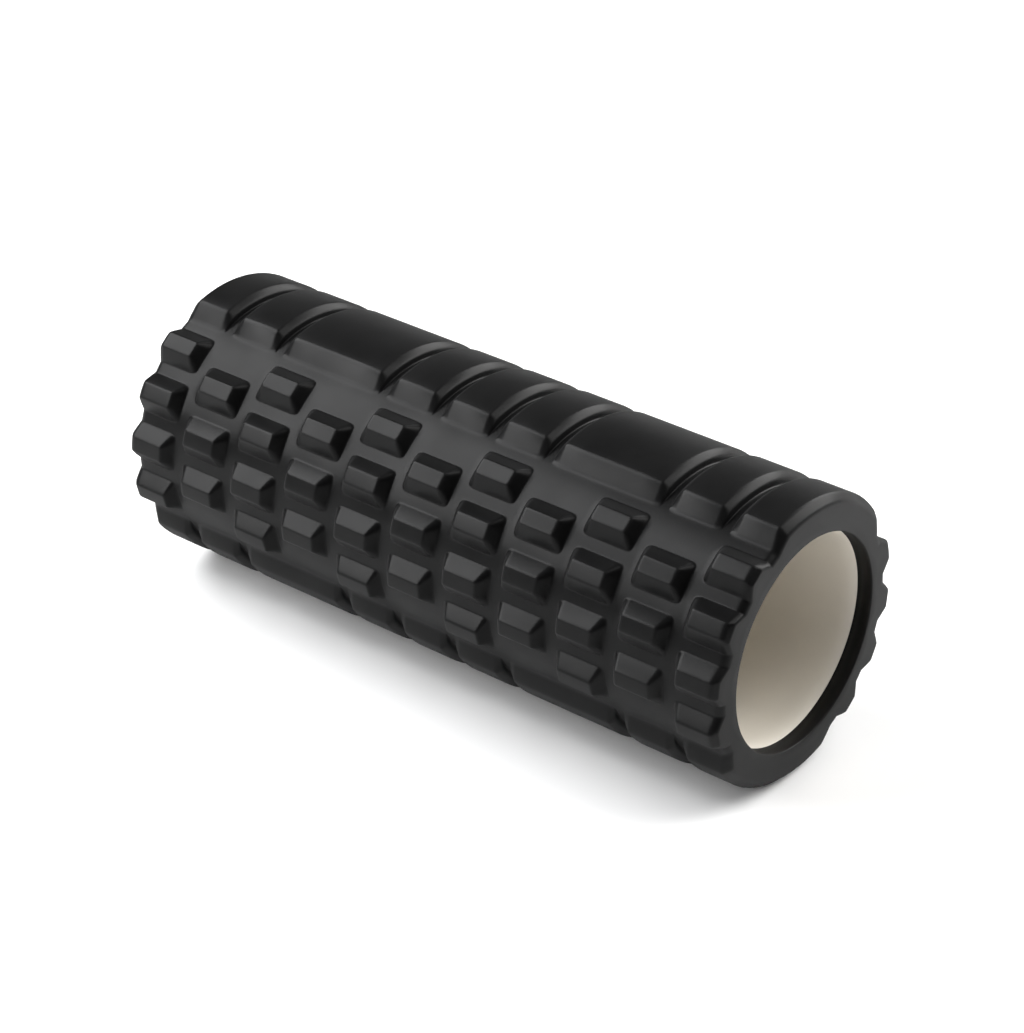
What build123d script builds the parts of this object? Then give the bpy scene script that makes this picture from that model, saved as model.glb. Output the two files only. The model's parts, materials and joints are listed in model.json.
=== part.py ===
from build123d import *
import math
import os

# A foam roller for massage: a rigid hollow core tube with a moulded EVA foam sleeve bonded
# round it. The sleeve's tread has two wide pads, opposite each other, that run the whole
# length and are cut by cross grooves, and between them two fields of small staggered blocks.
#
# Millimetres, +Z up. The roller lies on its tread with its axis along Y, and the origin is
# on the floor under its middle. Each piece is drawn about its own axis, the local Z, with
# angles counted from the local X, and is then laid down by lay_down().

# Overall
roller_length = 330.0
crest_radius = 66.0
root_radius = 60.5
end_rounding = 4.7

# Core tube and the foam lips that lap over its two ends
core_bore_radius = 49.2
core_wall = 3.0
bond_line = 0.1
lip_depth = 7.5
lip_bore_radius = 49.5

# Tread layout
column_count = 11
column_pitch = 30.8
row_count = 7
row_pitch = 11.25
tread_roll = 18.9

# Small blocks: the angles and lengths of the foot and of the crest
block_foot_angle = 17.2
block_crest_angle = 6.4
block_foot_length = 25.2
block_crest_length = 17.9
block_corner = 3.0

# Wide pads and the grooves that cut them
pad_foot_angle = 84.2
pad_crest_angle = 70.0
groove_foot_width = 3.4
groove_crest_width = 10.0
ungrooved_boundaries = (3, 8)

# Worked out
core_radius = core_bore_radius + core_wall
core_length = roller_length - 2 * lip_depth
seat_radius = core_radius + bond_line
middle_column = (column_count + 1) / 2
middle_row = (row_count + 1) / 2
overrun = 1.0


def polar(radius, angle):
    """The point of a circle at an angle in degrees."""
    turn = math.radians(angle)
    return radius * math.cos(turn), radius * math.sin(turn)


def along(start, end, distance):
    """The point whose local X is distance, on the line through start and end."""
    share = (distance - start[0]) / (end[0] - start[0])
    return distance, start[1] + share * (end[1] - start[1])


def tapered_prism(foot, crest, plane, length):
    """A bar whose section narrows outward, from below the root to beyond the crest."""
    low = along(foot, crest, root_radius - 2 * overrun)
    high = along(foot, crest, crest_radius + overrun)
    outline = Polyline(low, high, (high[0], -high[1]), (low[0], -low[1]), close=True)
    return extrude(plane * make_face(outline), length / 2, both=True)


def rounded_cylinder(radius):
    """A cylinder of the roller's length with both outer end edges rounded."""
    body = Cylinder(radius, roller_length)
    return fillet(body.edges().filter_by(GeomType.CIRCLE), end_rounding)


def small_block():
    """One tapered block on the local X side, which runs past the root and past the crest."""
    foot = polar(root_radius, block_foot_angle / 2)
    crest = polar(crest_radius, block_crest_angle / 2)
    across = tapered_prism(foot, crest, Plane.XY, 2 * block_foot_length)
    foot = (root_radius, block_foot_length / 2)
    crest = (crest_radius, block_crest_length / 2)
    block = across & tapered_prism(foot, crest, Plane.XZ, 2 * block_foot_length)
    corners = block.edges().filter_by(lambda edge: abs(edge.tangent_at(0.5).X) > 0.5)
    return fillet(corners, block_corner)


def block_field(field_angle):
    """A field of staggered blocks: odd rows hold the odd columns, even rows the even ones."""
    block = small_block()
    blocks = []
    for row in range(1, row_count + 1):
        angle = field_angle + (middle_row - row) * row_pitch
        for column in range(2 - row % 2, column_count + 1, 2):
            height = (middle_column - column) * column_pitch
            blocks.append(Rot(0, 0, angle) * Pos(0, 0, height) * block)
    return blocks


def cross_grooves():
    """The V-shaped rings between the columns, at all but the ungrooved boundaries."""
    foot = (root_radius, groove_foot_width / 2)
    crest = (crest_radius, groove_crest_width / 2)
    low = along(foot, crest, root_radius - overrun)
    high = along(foot, crest, crest_radius + overrun)
    outline = Polyline(low, high, (high[0], -high[1]), (low[0], -low[1]), close=True)
    ring = revolve(Plane.XZ * make_face(outline), Axis.Z)
    boundaries = [step for step in range(1, column_count) if step not in ungrooved_boundaries]
    return [Pos(0, 0, (middle_column - step - 0.5) * column_pitch) * ring for step in boundaries]


def wide_pad(pad_angle, grooves):
    """One wide pad: a wedge as long as the roller with sloping sides, cut by the grooves."""
    foot = polar(root_radius, pad_foot_angle / 2)
    crest = polar(crest_radius, pad_crest_angle / 2)
    low = along(foot, crest, foot[0] - overrun)
    high = along(foot, crest, crest[0] + overrun)
    wedge = Polyline(
        (0, 0),
        low,
        high,
        (2 * crest_radius, 0),
        (high[0], -high[1]),
        (low[0], -low[1]),
        close=True,
    )
    pad = extrude(make_face(wedge), roller_length / 2, both=True)
    return Rot(0, 0, pad_angle) * (pad - grooves)


def foam_sleeve():
    """The moulded foam sleeve, with a seat for the core tube and a lip at each end."""
    grooves = cross_grooves()
    tread = []
    for side in (0, 180):
        tread.append(wide_pad(tread_roll + side, grooves))
        tread.extend(block_field(tread_roll - 90 + side))
    body = rounded_cylinder(root_radius).fuse(*tread) & rounded_cylinder(crest_radius)
    return body - Cylinder(lip_bore_radius, roller_length) - Cylinder(seat_radius, core_length)


def core_tube():
    """The rigid plastic tube inside the sleeve."""
    return Cylinder(core_radius, core_length) - Cylinder(core_bore_radius, core_length)


def lay_down(piece):
    """Turns the local Z to +Y and the local X to +Z, and sets the crests on the floor."""
    return Plane(origin=(0, 0, crest_radius), x_dir=(0, 0, 1), z_dir=(0, 1, 0)).location * piece


pieces = {"foam_sleeve": foam_sleeve(), "core_tube": core_tube()}
os.makedirs("parts", exist_ok=True)
for name, piece in pieces.items():
    export_step(lay_down(piece), f"parts/{name}.step")
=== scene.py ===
import json
import math

import bpy
import numpy as np
from mathutils import Matrix, Vector


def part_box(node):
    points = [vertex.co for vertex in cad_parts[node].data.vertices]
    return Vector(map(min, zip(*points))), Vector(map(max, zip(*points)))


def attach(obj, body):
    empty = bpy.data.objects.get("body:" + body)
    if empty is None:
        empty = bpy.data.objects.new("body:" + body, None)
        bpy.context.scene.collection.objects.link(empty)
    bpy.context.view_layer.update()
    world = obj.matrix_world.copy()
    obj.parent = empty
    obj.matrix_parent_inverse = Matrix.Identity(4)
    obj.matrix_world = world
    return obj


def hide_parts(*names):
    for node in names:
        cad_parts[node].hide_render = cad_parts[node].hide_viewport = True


# A hollow foam roller for massage, lying on its tread on a plain pale floor.
# The foam sleeve is one moulding: two wide pads cut by cross grooves, and between them two
# fields of small staggered blocks. Its mesh is a closed section at each of many angles round
# the axis, and neighbouring sections are stitched together.
# Metres in the frame's own axes; the tread's own sizes are in millimetres, scaled by MM.

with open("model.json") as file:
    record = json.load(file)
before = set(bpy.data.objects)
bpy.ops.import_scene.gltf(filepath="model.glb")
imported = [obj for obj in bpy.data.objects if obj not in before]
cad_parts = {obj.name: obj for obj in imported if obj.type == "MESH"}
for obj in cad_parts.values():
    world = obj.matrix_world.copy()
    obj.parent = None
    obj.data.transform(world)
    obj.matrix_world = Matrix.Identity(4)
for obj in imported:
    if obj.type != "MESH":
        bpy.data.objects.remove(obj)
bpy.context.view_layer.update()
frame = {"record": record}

MM = 0.001
sleeve_low, sleeve_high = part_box("foam_sleeve")
core_low, core_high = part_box("core_tube")
bore_mount = next(m for m in frame["record"]["mounts"] if m["name"] == "core_bore")

# Main sizes, from the frame
HALF_LENGTH = (sleeve_high.y - sleeve_low.y) / 2
CREST_RADIUS = (sleeve_high.z - sleeve_low.z) / 2
AXIS_HEIGHT = (sleeve_high.z + sleeve_low.z) / 2
CORE_HALF_LENGTH = (core_high.y - core_low.y) / 2
CORE_RADIUS = (core_high.z - core_low.z) / 2
CORE_BORE_RADIUS = bore_mount["dims"]["r_mm"] * MM
CENTRE = Vector((0, 0, AXIS_HEIGHT))

# The sleeve's section. The edge round its ends is bevelled on the pads and round elsewhere.
# A run is how far the rounding of each of the edge's two corners goes, as a share of its size.
TREAD_DEPTH = 5.5 * MM
PAD_END_BEVEL = 3.7 * MM
PAD_END_RUNS = (0.25, 0.4)
BLOCK_END_ROUNDING = 2.2 * MM
BLOCK_END_RUNS = (0.7, 0.7)
LIP_BORE_RADIUS = CORE_BORE_RADIUS + 0.3 * MM
LIP_EDGE = 0.6 * MM
SEAT_GAP = 0.1 * MM
CORE_CHAMFER = 0.4 * MM

# The tread's layout, in degrees round the axis and millimetres along it. The foot and crest
# of a block or a pad are given from its middle. The roll is how far a pad's middle is turned
# from the top, and the ungrooved places are boundaries between columns.
TREAD_ROLL = 18.9
COLUMNS = 11
COLUMN_PITCH = 30.8
ROWS = 7
ROW_PITCH = 11.25
BLOCK_FOOT = (8.6, 12.6)
BLOCK_CREST = (3.2, 8.95)
PAD_FOOT = 42.1
PAD_CREST = 35.0
UNGROOVED = (3, 8)

# The side of a groove across the pads: a steep wall with a fillet at its foot, then a bevel.
# Each corner is a distance from the groove's middle, a height, and how far its rounding runs.
# The crest's corner has no run, because it is softened with the rest of the pad.
GROOVE_FOOT = (1.9, 0, 0.9)
GROOVE_BEVEL = (2.5, 2.8, 0.7)
GROOVE_CREST = (5.2, 5.5)

# How softly the foam's edges are moulded, in millimetres of height
CORNER_AT_CREST = 1.5
BLOCK_CORNER_AT_FOOT = 4.6
PAD_CORNER_AT_FOOT = 8.0
BLOCK_CREST_SOFTNESS = 0.5
BLOCK_FOOT_SOFTNESS = 0.4
PAD_CREST_SOFTNESS = 0.9
PAD_FOOT_SOFTNESS = 1.0

# How finely the meshes are made. The shares are of the way in across an end face, the margin
# between the last grid lines is in millimetres, and the step is in degrees.
BEND_POINTS = 6
PAD_CROWN_LINES = 11
FACE_SHARES = np.array([0.33, 0.66])
LIP_EDGE_POINTS = 4
END_MARGIN = 0.4
CORE_LINES = 41
CORE_ANGLE_STEP = 1.5

# The stations at which a section's end profiles start and its loop closes: see sleeve_rings
END_STATION = 1000
CLOSING_STATION = 1e6

# Studio, in metres, degrees and millimetres of lens
SOFTBOX_DISTANCE = 1.7
FLOOR_HALF_SIZE = 6.0
FLOOR_GLOW_START = 1.2
FLOOR_GLOW_FULL = 2.4
CAMERA_AZIMUTH = -51.075
CAMERA_ELEVATION = 30.631
CAMERA_LENS = 114.88
CAMERA_DISTANCE = 1.4513
CAMERA_MOVED_RIGHT = 0.00583
CAMERA_MOVED_UP = 0.00021

# Worked out
ROOT_RADIUS = CREST_RADIUS - TREAD_DEPTH
MM_PER_DEGREE = math.radians(ROOT_RADIUS + TREAD_DEPTH / 2) / MM
DEPTH_MM = TREAD_DEPTH / MM
UNCLIPPED = 4 * DEPTH_MM
MIDDLE_COLUMN = (COLUMNS + 1) / 2
MIDDLE_ROW = (ROWS + 1) / 2


# Shape of the tread

def soft_min(a, b, size):
    """The smaller of two heights, with a rounded change from one to the other."""
    near = np.maximum(size - np.abs(a - b), 0) / size
    return np.minimum(a, b) - near * near * size / 4


def soft_max(a, b, size):
    """The larger of two heights, with the same rounded change."""
    return -soft_min(-a, -b, size)


def corner_min(a, b, at_foot):
    """Two walls' common height, whose corner is crisp at the crest and rounder at the foot."""
    below = np.clip(1 - np.minimum(a, b) / DEPTH_MM, 0, 1)
    return soft_min(a, b, CORNER_AT_CREST + (at_foot - CORNER_AT_CREST) * below)


def wall(inside, foot, crest):
    """Height of a sloping wall, which is foot from its middle at the root and crest at the top."""
    return DEPTH_MM * (foot - inside) / (foot - crest)


def distance_round(angles, angle):
    """Millimetres round the axis from an angle, the short way, at half the tread's depth."""
    return np.abs((angles - angle + 180) % 360 - 180) * MM_PER_DEGREE


def groove_middles():
    """Where the cross grooves are along the axis: between columns, at all but two places."""
    steps = [step for step in range(1, COLUMNS) if step not in UNGROOVED]
    return [(MIDDLE_COLUMN - step - 0.5) * COLUMN_PITCH for step in steps]


def block_heights(angles, lengths):
    """Heights of both fields of small blocks, before they are clipped to the tread depth."""
    heights = np.full((len(angles), len(lengths)), -DEPTH_MM)
    foot, crest = BLOCK_FOOT[0] * MM_PER_DEGREE, BLOCK_CREST[0] * MM_PER_DEGREE
    for side in (0, 180):
        for row in range(1, ROWS + 1):
            angle = TREAD_ROLL - 90 + side + (MIDDLE_ROW - row) * ROW_PITCH
            across = wall(distance_round(angles, angle), foot, crest)[:, None]
            for column in range(2 - row % 2, COLUMNS + 1, 2):
                middle = (MIDDLE_COLUMN - column) * COLUMN_PITCH
                over = wall(np.abs(lengths - middle), BLOCK_FOOT[1], BLOCK_CREST[1])[None, :]
                heights = np.maximum(heights, corner_min(across, over, BLOCK_CORNER_AT_FOOT))
    return heights


def bend(before, corner, after):
    """Points of a rounded corner of a line, which starts and ends its rounding's run away."""
    corner, run = np.array(corner[:2]), corner[2]
    ends = []
    for other in (before, after):
        away = np.array(other[:2]) - corner
        ends.append(corner + away / np.linalg.norm(away) * run)
    share = np.linspace(0, 1, BEND_POINTS)[:, None]
    return (1 - share) ** 2 * ends[0] + 2 * share * (1 - share) * corner + share ** 2 * ends[1]


def groove_side(distance):
    """Height of a pad beside a groove. The bevel goes on upward, and is clipped at the crest."""
    bevel, crest = np.array(GROOVE_BEVEL[:2]), np.array(GROOVE_CREST)
    far_up = bevel + (crest - bevel) * (UNCLIPPED - bevel[1]) / (crest[1] - bevel[1])
    line = np.vstack([
        (0, 0),
        bend((0, 0), GROOVE_FOOT, GROOVE_BEVEL),
        bend(GROOVE_FOOT, GROOVE_BEVEL, GROOVE_CREST),
        far_up,
    ])
    return np.interp(distance, line[:, 0], line[:, 1])


def pad_heights(angles, lengths):
    """Heights of the two wide pads, before they are clipped to the tread depth."""
    foot, crest = PAD_FOOT * MM_PER_DEGREE, PAD_CREST * MM_PER_DEGREE
    across = np.maximum(
        wall(distance_round(angles, TREAD_ROLL), foot, crest),
        wall(distance_round(angles, TREAD_ROLL + 180), foot, crest),
    )
    over = np.full(len(lengths), UNCLIPPED)
    for middle in groove_middles():
        over = np.minimum(over, groove_side(np.abs(lengths - middle)))
    return corner_min(across[:, None], over[None, :], PAD_CORNER_AT_FOOT)


def tread_heights(angles, lengths):
    """Height of the foam over the root, in millimetres, at each angle and length."""
    blocks = soft_min(block_heights(angles, lengths), DEPTH_MM, BLOCK_CREST_SOFTNESS)
    blocks = soft_max(blocks, 0, BLOCK_FOOT_SOFTNESS)
    pads = soft_min(pad_heights(angles, lengths), DEPTH_MM, PAD_CREST_SOFTNESS)
    pads = soft_max(pads, 0, PAD_FOOT_SOFTNESS)
    return np.maximum(blocks, pads)


# Grid of the sleeve

def beside(edge, *offsets):
    """Grid lines at offsets from an edge of the tread."""
    return [edge + offset for offset in offsets]


def mirrored(stops):
    """Stops that start at 0, with the same stops on the other side of it."""
    return [-stop for stop in reversed(stops[1:])] + stops


def tidied(stops):
    """Stops in order, without those that are there twice."""
    return np.unique(np.round(stops, 4))


def within(stops, limit):
    """The stops nearer the middle than a limit, tidied."""
    return tidied([stop for stop in stops if abs(stop) < limit])


def block_angles(field_angle):
    """Angles of the rings over a field of blocks, closest at their edges and outermost feet."""
    crest_edge = beside(BLOCK_CREST[0], -1.25, -0.85, -0.55, -0.25, 0, 0.25, 0.6, 1.5)
    last_foot = beside(BLOCK_FOOT[0], -2, -1, -0.5, -0.2, 0.1, 0.4, 0.8, 1.6)
    stops = mirrored([0] + crest_edge + [ROW_PITCH / 2])
    last_row = ROWS - MIDDLE_ROW
    angles = [(row - MIDDLE_ROW) * ROW_PITCH + stop for row in range(1, ROWS + 1) for stop in stops]
    angles += [side * (last_row * ROW_PITCH + stop) for side in (-1, 1) for stop in last_foot]
    return field_angle + tidied(angles)


def pad_angles(pad_angle):
    """Angles of the rings over a wide pad, closest at the edge and foot of its sides."""
    crown = np.linspace(0, PAD_CREST - 1, PAD_CROWN_LINES).tolist()
    crest_edge = beside(PAD_CREST, -0.5, -0.2, 0.2, 0.6, 1.2, 2.6)
    foot = beside(PAD_FOOT, -2.9, -1.5, -1.2, -0.6, 0, 0.6, 1.2, 2.1)
    return pad_angle + tidied(mirrored(crown + crest_edge + foot))


def block_lengths(limit):
    """Grid lines along the axis over the fields of blocks, in millimetres."""
    crest_edge = beside(BLOCK_CREST[1], -1.35, -0.5, 0, 0.5, 1.25, 2.35)
    foot = beside(BLOCK_FOOT[1], -0.5, 0, 0.5)
    stops = mirrored([0] + crest_edge + foot + [COLUMN_PITCH / 2])
    middles = [(MIDDLE_COLUMN - column) * COLUMN_PITCH for column in range(1, COLUMNS + 1)]
    return within([middle + stop for middle in middles for stop in stops], limit)


def pad_lengths(limit):
    """Grid lines along the axis over the pads: fine in the grooves, coarse between them."""
    foot = beside(GROOVE_FOOT[0], -1.2, -0.85, -0.5, -0.15, 0.1)
    bevel = beside(GROOVE_BEVEL[0], -0.3, -0.1, 0.1, 0.4, 0.9)
    crest_edge = beside(GROOVE_CREST[0], -0.3, 0, 0.3, 1.0)
    stops = mirrored([0] + foot + bevel + crest_edge)
    lengths = [middle + stop for middle in groove_middles() for stop in stops]
    clear_of_grooves = 8
    for step in range(-2 * COLUMNS, 2 * COLUMNS + 1):
        place = step * COLUMN_PITCH / 4
        if min(abs(place - middle) for middle in groove_middles()) > clear_of_grooves:
            lengths.append(place)
    return within(lengths, limit)


def unit_edge(first_run, second_run):
    """A bevel of size 1 with rounded corners, as points that are each (inward, drop)."""
    first = bend((2, 0), (1, 0, first_run), (0, 1))
    second = bend((1, 0), (0, 1, second_run), (0, 2))
    return np.vstack([first, second])


def end_profile(angles):
    """How far the edge round the sleeve's end is cut back inward and down, at each angle.

    It's a bevel with softened corners on the pads, and a rounding among the blocks. The
    rounding's own cut inward comes third.
    """
    bevel = unit_edge(*PAD_END_RUNS)
    rounding = unit_edge(*BLOCK_END_RUNS)
    from_pad = np.abs((angles - TREAD_ROLL + 90) % 180 - 90)
    share = np.clip((PAD_FOOT - from_pad) / (PAD_FOOT - PAD_CREST), 0, 1)[:, None, None]
    share = share * share * (3 - 2 * share)
    profile = share * bevel * PAD_END_BEVEL + (1 - share) * rounding * BLOCK_END_ROUNDING
    return profile[:, :, 0], profile[:, :, 1], rounding[:, 0] * BLOCK_END_ROUNDING


def sleeve_end(angles, side, limit):
    """From the last outer line, over the end's edge and face, to the core tube's seat."""
    count = len(angles)
    inward, drop, inward_at_blocks = end_profile(angles)
    base = tread_heights(angles, np.array([side * limit])) * MM - drop
    walls = tread_heights(angles, side * (HALF_LENGTH - inward_at_blocks) / MM) * MM
    outer = ROOT_RADIUS + np.minimum(base, walls)
    rim = LIP_BORE_RADIUS + LIP_EDGE
    turn = np.radians(np.linspace(0, 90, LIP_EDGE_POINTS))
    seat = CORE_RADIUS + SEAT_GAP
    seat_end = CORE_HALF_LENGTH + SEAT_GAP
    radii = [
        outer,
        outer[:, -1:] + (rim - outer[:, -1:]) * FACE_SHARES,
        np.tile(rim - LIP_EDGE * np.sin(turn), (count, 1)),
        np.tile([LIP_BORE_RADIUS, seat], (count, 1)),
    ]
    places = [
        HALF_LENGTH - inward,
        np.full((count, len(FACE_SHARES)), HALF_LENGTH),
        np.tile(HALF_LENGTH - LIP_EDGE * (1 - np.cos(turn)), (count, 1)),
        np.full((count, 2), seat_end),
    ]
    return np.hstack(radii), side * np.hstack(places)


def sleeve_rings(angles, lengths, limit):
    """The sleeve's closed section at each angle, as rings for ring_mesh.

    A station says which place along the section a point has: its length in millimetres on
    the tread, and a count from END_STATION over the two ends.
    """
    lengths = np.concatenate([[-limit], lengths, [limit]])
    outer = ROOT_RADIUS + tread_heights(angles, lengths) * MM
    far_radii, far_places = sleeve_end(angles, 1, limit)
    near_radii, near_places = sleeve_end(angles, -1, limit)
    radii = np.hstack([outer, far_radii, near_radii[:, ::-1]])
    places = np.hstack([np.tile(lengths * MM, (len(angles), 1)), far_places, near_places[:, ::-1]])
    ends = END_STATION + np.arange(far_radii.shape[1] + near_radii.shape[1])
    stations = np.concatenate([lengths, ends])
    return [(angle % 360, stations, *section) for angle, *section in zip(angles, radii, places)]


def stitch(first, second):
    """Faces between two neighbouring rings, each a list of (station, vertex) in order."""
    faces = []
    a = b = 0
    while a + 1 < len(first) or b + 1 < len(second):
        next_first = first[a + 1][0] if a + 1 < len(first) else math.inf
        next_second = second[b + 1][0] if b + 1 < len(second) else math.inf
        corners = [second[b][1]]
        if next_second <= next_first:
            corners.append(second[b + 1][1])
        if next_first <= next_second:
            corners.append(first[a + 1][1])
        faces.append(corners + [first[a][1]])
        a += next_first <= next_second
        b += next_second <= next_first
    return faces


def ring_mesh(name, rings):
    """A closed mesh through sections round the axis: (angle, stations, radii, places) each.

    Two neighbouring sections are joined by quads where their stations along the section are
    the same, and by triangles where one of them has a station that the other hasn't.
    """
    points, loops = [], []
    for angle, stations, radii, places in sorted(rings, key=lambda ring: ring[0]):
        turn = math.radians(angle)
        start = len(points)
        heights = AXIS_HEIGHT + radii * math.cos(turn)
        points.extend(zip((radii * math.sin(turn)).tolist(), places.tolist(), heights.tolist()))
        loop = [(station, start + index) for index, station in enumerate(stations.tolist())]
        loops.append(loop + [(CLOSING_STATION, start)])
    faces = []
    for first, second in zip(loops, loops[1:] + loops[:1]):
        faces.extend(stitch(first, second))
    mesh = bpy.data.meshes.new(name)
    mesh.from_pydata(points, [], faces)
    mesh.polygons.foreach_set("use_smooth", [True] * len(mesh.polygons))
    mesh.update()
    piece = bpy.data.objects.new(name, mesh)
    bpy.context.scene.collection.objects.link(piece)
    return piece


def make_sleeve():
    """The foam sleeve. The tread's last grid lines lie just before the end edges begin."""
    limit = (HALF_LENGTH - (1 + PAD_END_RUNS[0]) * PAD_END_BEVEL) / MM - END_MARGIN
    inner_limit = limit - END_MARGIN
    rings = []
    for side in (0, 180):
        pad = pad_angles(TREAD_ROLL + side)
        field = block_angles(TREAD_ROLL - 90 + side)
        rings += sleeve_rings(pad, pad_lengths(inner_limit), limit)
        rings += sleeve_rings(field, block_lengths(inner_limit), limit)
    return ring_mesh("sleeve_foam", rings)


def make_core():
    """The plastic tube, with a small chamfer on the edges of its ends."""
    end = CORE_HALF_LENGTH
    stops = np.linspace(-1, 1, CORE_LINES) * (end - CORE_CHAMFER)
    outer = np.full(CORE_LINES, CORE_RADIUS)
    inner = np.full(CORE_LINES, CORE_BORE_RADIUS)
    end_face = [CORE_RADIUS - CORE_CHAMFER, CORE_BORE_RADIUS + CORE_CHAMFER]
    radii = np.concatenate([outer, end_face, inner, end_face[::-1]])
    places = np.concatenate([stops, [end, end], stops[::-1], [-end, -end]])
    stations = np.arange(len(radii))
    angles = np.arange(0, 360, CORE_ANGLE_STEP)
    return ring_mesh("core_plastic", [(angle, stations, radii, places) for angle in angles])


# Materials

def new_material(name):
    """A material, its nodes and links, and its shader."""
    material = bpy.data.materials.new(name)
    material.use_nodes = True
    nodes = material.node_tree.nodes
    return material, nodes, material.node_tree.links, nodes["Principled BSDF"]


def noise(nodes, links, coordinates, scale, detail, roughness):
    """Noise between 0 and 1."""
    texture = nodes.new("ShaderNodeTexNoise")
    texture.inputs["Scale"].default_value = scale
    texture.inputs["Detail"].default_value = detail
    texture.inputs["Roughness"].default_value = roughness
    links.new(coordinates, texture.inputs["Vector"])
    return texture.outputs["Fac"]


def ramp(nodes, links, source, stops):
    """A colour ramp with (position, colour) stops; a number stands for a grey."""
    node = nodes.new("ShaderNodeValToRGB")
    elements = node.color_ramp.elements
    while len(elements) < len(stops):
        elements.new(0.5)
    for element, (position, colour) in zip(elements, stops):
        element.position = position
        element.color = (*colour, 1) if isinstance(colour, tuple) else (colour, colour, colour, 1)
    links.new(source, node.inputs["Fac"])
    return node.outputs["Color"]


def add_bump(nodes, links, shader, height, distance):
    """A faint bump on the shader, from a height texture and its depth in metres."""
    bump = nodes.new("ShaderNodeBump")
    bump.inputs["Strength"].default_value = 0.1
    bump.inputs["Distance"].default_value = distance
    links.new(height, bump.inputs["Height"])
    links.new(bump.outputs["Normal"], shader.inputs["Normal"])


def foam_colour(nodes, links, coordinates):
    """Black, slightly mottled, and a little paler on the foam's sharp edges: partly wear, partly a
    painted highlight along the crests.
    """
    mottle = noise(nodes, links, coordinates, scale=55, detail=5, roughness=0.55)
    colour = ramp(nodes, links, mottle,
                  [(0.3, (0.0034, 0.0034, 0.0035)), (0.7, (0.0052, 0.0052, 0.0053))])
    pointiness = nodes.new("ShaderNodeNewGeometry").outputs["Pointiness"]
    # Painted highlight and wear: convex edges get a paler colour, standing in partly for the bright
    # lines that light draws along the crests.
    wear_and_painted_highlight = ramp(nodes, links, pointiness, [(0.51, 0.0), (0.58, 0.006)])
    mix = nodes.new("ShaderNodeMix")
    mix.data_type = "RGBA"
    mix.blend_type = "ADD"
    mix.inputs["Factor"].default_value = 1.0
    links.new(colour, mix.inputs["A"])
    links.new(wear_and_painted_highlight, mix.inputs["B"])
    return mix.outputs["Result"]


def foam_roughness(nodes, links, coordinates):
    """Uneven gloss, which dulls where the surface turns away from the eye."""
    gloss = noise(nodes, links, coordinates, scale=40, detail=2, roughness=0.5)
    rough = ramp(nodes, links, gloss, [(0.35, 0.28), (0.65, 0.34)])
    facing = nodes.new("ShaderNodeLayerWeight")
    facing.inputs["Blend"].default_value = 0.5
    edge = ramp(nodes, links, facing.outputs["Facing"], [(0.45, 0.0), (0.85, 0.4)])
    total = nodes.new("ShaderNodeMath")
    total.operation = "ADD"
    links.new(rough, total.inputs[0])
    links.new(edge, total.inputs[1])
    return total.outputs["Value"]


def foam_material():
    material, nodes, links, shader = new_material("eva_foam")
    coordinates = nodes.new("ShaderNodeTexCoord").outputs["Object"]
    links.new(foam_colour(nodes, links, coordinates), shader.inputs["Base Color"])
    links.new(foam_roughness(nodes, links, coordinates), shader.inputs["Roughness"])
    skin = noise(nodes, links, coordinates, scale=1400, detail=2, roughness=0.5)
    add_bump(nodes, links, shader, skin, 0.2 * MM)
    shader.inputs["Specular IOR Level"].default_value = 0.09
    shader.inputs["Sheen Weight"].default_value = 0.03
    shader.inputs["Sheen Roughness"].default_value = 0.5
    return material


def core_material():
    """Warm light grey plastic, with fine lines along the extrusion."""
    material, nodes, links, shader = new_material("core_plastic")
    coordinates = nodes.new("ShaderNodeTexCoord").outputs["Object"]
    stretch = nodes.new("ShaderNodeMapping")
    stretch.inputs["Scale"].default_value = (1, 0.03, 1)
    links.new(coordinates, stretch.inputs["Vector"])
    lines = noise(nodes, links, stretch.outputs["Vector"], scale=700, detail=3, roughness=0.6)
    cloud = noise(nodes, links, coordinates, scale=25, detail=4, roughness=0.5)
    colour = ramp(nodes, links, cloud,
                  [(0.3, (0.65, 0.608, 0.535)), (0.7, (0.69, 0.648, 0.573))])
    links.new(colour, shader.inputs["Base Color"])
    rough = ramp(nodes, links, lines, [(0.3, 0.42), (0.7, 0.52)])
    links.new(rough, shader.inputs["Roughness"])
    add_bump(nodes, links, shader, lines, 0.1 * MM)
    return material


def floor_material():
    """Matt white. It glows beyond the softboxes' reach, so that it is as white far off."""
    material, nodes, links, shader = new_material("studio_floor")
    shader.inputs["Base Color"].default_value = (0.97, 0.97, 0.97, 1)
    shader.inputs["Roughness"].default_value = 0.7
    shader.inputs["Specular IOR Level"].default_value = 0.2
    distance = nodes.new("ShaderNodeVectorMath")
    distance.operation = "LENGTH"
    links.new(nodes.new("ShaderNodeTexCoord").outputs["Object"], distance.inputs[0])
    glow = nodes.new("ShaderNodeMapRange")
    glow.interpolation_type = "SMOOTHSTEP"
    glow.inputs["From Min"].default_value = FLOOR_GLOW_START
    glow.inputs["From Max"].default_value = FLOOR_GLOW_FULL
    links.new(distance.outputs["Value"], glow.inputs["Value"])
    links.new(glow.outputs["Result"], shader.inputs["Emission Strength"])
    return material


# Studio

def make_floor():
    half = FLOOR_HALF_SIZE
    corners = [(-half, -half, 0), (half, -half, 0), (half, half, 0), (-half, half, 0)]
    mesh = bpy.data.meshes.new("studio_floor")
    mesh.from_pydata(corners, [], [(0, 1, 2, 3)])
    mesh.materials.append(floor_material())
    floor = bpy.data.objects.new("studio_floor", mesh)
    bpy.context.scene.collection.objects.link(floor)


def direction(azimuth, elevation):
    """Unit vector from the object towards a viewer: azimuth 0 is -Y, 90 is +X."""
    a, e = math.radians(azimuth), math.radians(elevation)
    return Vector((math.sin(a) * math.cos(e), -math.cos(a) * math.cos(e), math.sin(e)))


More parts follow.
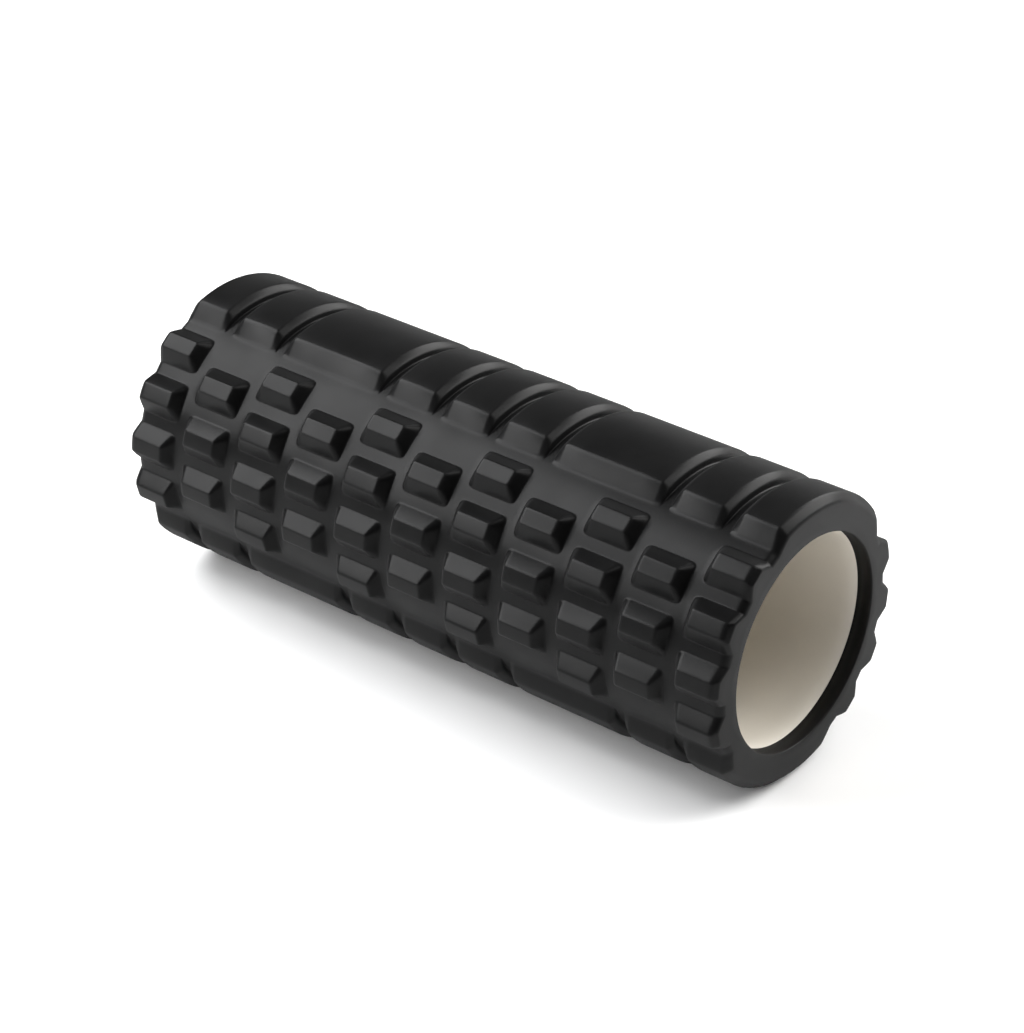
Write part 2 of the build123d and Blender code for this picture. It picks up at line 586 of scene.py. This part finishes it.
def softbox(name, azimuth, elevation, size, power, colour=(1, 1, 1)):
    """A rectangular lamp that faces the roller's centre."""
    light = bpy.data.lights.new(name, "AREA")
    light.shape = "RECTANGLE"
    light.size, light.size_y = size
    light.energy = power
    light.color = colour
    lamp = bpy.data.objects.new(name, light)
    towards = direction(azimuth, elevation)
    lamp.location = CENTRE + towards * SOFTBOX_DISTANCE
    lamp.rotation_euler = towards.to_track_quat("Z", "Y").to_euler()
    bpy.context.scene.collection.objects.link(lamp)


def make_lights():
    warm, cool = (1.0, 0.995, 0.985), (0.99, 0.995, 1.0)
    softbox("side_softbox", 68, 27, (1.6, 0.85), 35, warm)
    softbox("side_top_softbox", 88, 46, (0.9, 0.6), 4)
    softbox("front_softbox", 27, 50, (0.75, 1.3), 13, warm)
    softbox("back_softbox", 202, 46, (1.3, 1.0), 42, cool)
    softbox("back_low_softbox", 232, 25, (0.7, 0.65), 15)
    world = bpy.data.worlds.new("studio")
    world.use_nodes = True
    background = world.node_tree.nodes["Background"]
    background.inputs["Color"].default_value = (1, 1, 1, 1)
    background.inputs["Strength"].default_value = 0.01
    bpy.context.scene.world = world


def make_camera():
    """The photograph's view, with a camera that stands a little right and up of the centre."""
    back = direction(CAMERA_AZIMUTH, CAMERA_ELEVATION)
    right = Vector((0, 0, 1)).cross(back).normalized()
    up = back.cross(right)
    data = bpy.data.cameras.new("camera")
    data.sensor_fit = "HORIZONTAL"
    data.sensor_width = 36.0
    data.lens = CAMERA_LENS
    data.clip_start = 0.01
    data.clip_end = 50.0
    camera = bpy.data.objects.new("camera", data)
    place = CENTRE + CAMERA_DISTANCE * back + CAMERA_MOVED_RIGHT * right + CAMERA_MOVED_UP * up
    turn = Matrix((right, up, back)).transposed().to_4x4()
    camera.matrix_world = Matrix.Translation(place) @ turn
    bpy.context.scene.collection.objects.link(camera)
    bpy.context.scene.camera = camera


def finish_piece(piece, node, material):
    """Gives a piece its material and body, and has it stand in for its CAD node."""
    piece.data.materials.append(material)
    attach(piece, "root")
    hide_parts(node)


make_camera()
make_lights()
make_floor()
sleeve = make_sleeve()
finish_piece(sleeve, "foam_sleeve", foam_material())
finish_piece(make_core(), "core_tube", core_material())
bpy.context.scene.view_settings.view_transform = "Standard"
